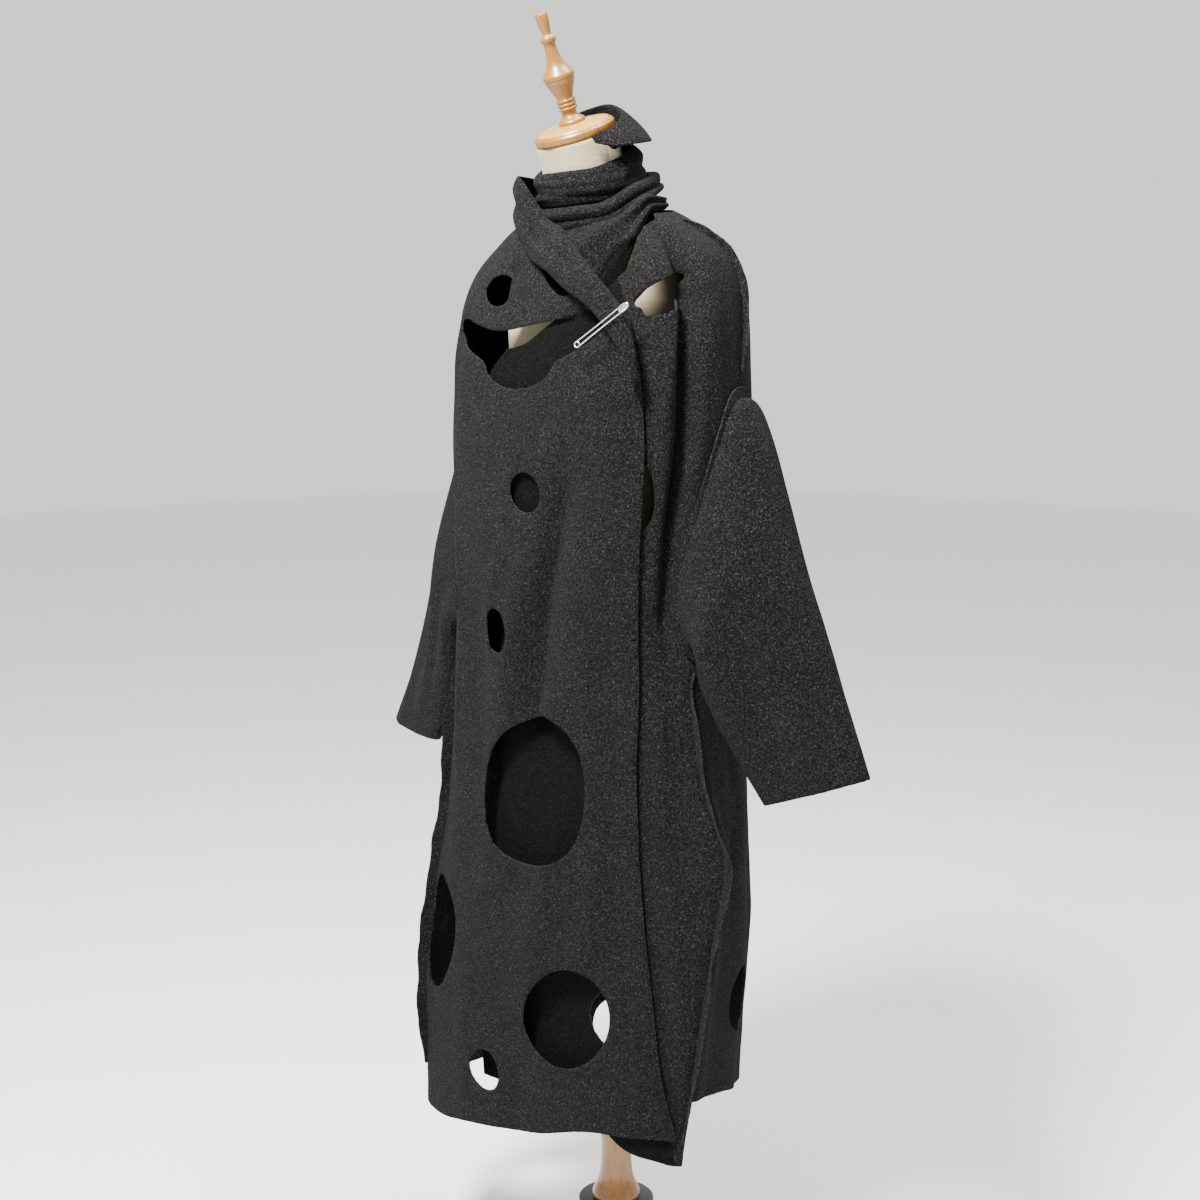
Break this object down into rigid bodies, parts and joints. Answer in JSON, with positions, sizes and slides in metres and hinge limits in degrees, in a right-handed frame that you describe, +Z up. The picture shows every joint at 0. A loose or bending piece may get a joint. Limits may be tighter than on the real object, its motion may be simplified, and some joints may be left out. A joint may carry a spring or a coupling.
{
  "type": "wool cape coat on a dress form",
  "caption": "Long boiled-wool wrap coat with round cut-outs, wide sleeves and a scarf collar, on a limbless linen dress form and pole.",
  "frame": {"origin": "centre of the base plate's underside, on the pole's axis", "axes": "+Z up the pole; the wearer faces -Y and the wearer's left is +X"},
  "size_m": [0.8566, 0.3526, 1.706],
  "materials": {
    "wool": "black melange boiled wool, matt, with a short light-fibred nap and raw cut edges",
    "linen": "cream linen stretched over the form",
    "turned_wood": "turned pale hardwood, satin varnish",
    "pin_steel": "bright polished steel wire and head",
    "dark_metal": "dark bronze-black painted metal"
  },
  "bodies": {
    "root": {"coat_front_right": "wool", "coat_front_left": "wool", "coat_back": "wool", "sleeve_left": "wool", "sleeve_right": "wool", "scarf_wrap_top": "wool", "scarf_wrap_middle": "wool", "scarf_wrap_low": "wool", "scarf_collar_flap": "wool", "scarf_crossing_end": "wool", "kilt_pin": "pin_steel", "form_torso": "linen", "neck_cap": "turned_wood", "finial": "turned_wood", "pole_column": "turned_wood", "pole_rod": "dark_metal", "pole_flange": "dark_metal", "pole_stem": "dark_metal", "base_plate": "dark_metal"}
  },
  "joints": []
}
